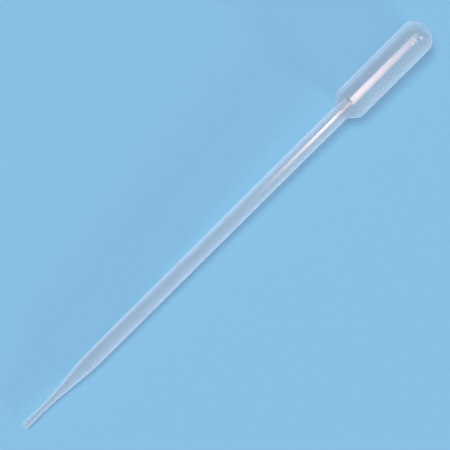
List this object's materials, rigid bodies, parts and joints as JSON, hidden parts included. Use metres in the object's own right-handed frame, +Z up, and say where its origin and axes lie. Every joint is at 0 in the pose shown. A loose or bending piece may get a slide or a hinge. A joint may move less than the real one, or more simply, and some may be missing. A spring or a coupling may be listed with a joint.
{
  "type": "plastic transfer pipette",
  "caption": "Long translucent plastic dropper pipette: slim round stem drawn to a fine tip, with a wider domed squeeze bulb whose two sides press in and spring back.",
  "frame": {"origin": "middle of the footprint, on the surface that the pipette lies on", "axes": "+X along the pipette from tip to bulb (the pipette's own axis rises 1.41 degrees towards the bulb, because the stem's lower end and the bulb's shoulder both touch z = 0), +Z up, +Y to the pipette's left seen from the tip"},
  "size_m": [0.3, 0.0186, 0.0198],
  "materials": {
    "tip_polythene": "translucent milky low-density polythene, thin drawn wall, satin",
    "stem_polythene": "translucent milky low-density polythene, satin, faint lengthwise draw streaks",
    "neck_polythene": "translucent milky low-density polythene, thicker wall, satin",
    "bulb_polythene": "translucent milky low-density polythene, blown, smooth satin"
  },
  "bodies": {
    "pipette": {"drawn_tip": "tip_polythene", "stem_tube": "stem_polythene", "bulb_neck": "neck_polythene", "bulb_barrel": "bulb_polythene", "bulb_dome": "bulb_polythene"},
    "front_side": {"front_wall": "bulb_polythene"},
    "back_side": {"back_wall": "bulb_polythene"}
  },
  "joints": [
    {"name": "front_squeeze", "type": "slide", "parent": "pipette", "child": "front_side", "axis": [0, 1, 0], "range_m": [0, 0.0065], "stiffness_N_per_m": 700},
    {"name": "back_squeeze", "type": "slide", "parent": "pipette", "child": "back_side", "axis": [0, -1, 0], "range_m": [0, 0.0065], "stiffness_N_per_m": 700}
  ],
  "couplings": [
    {"joint": "back_squeeze", "follows": "front_squeeze", "ratio": 1}
  ]
}
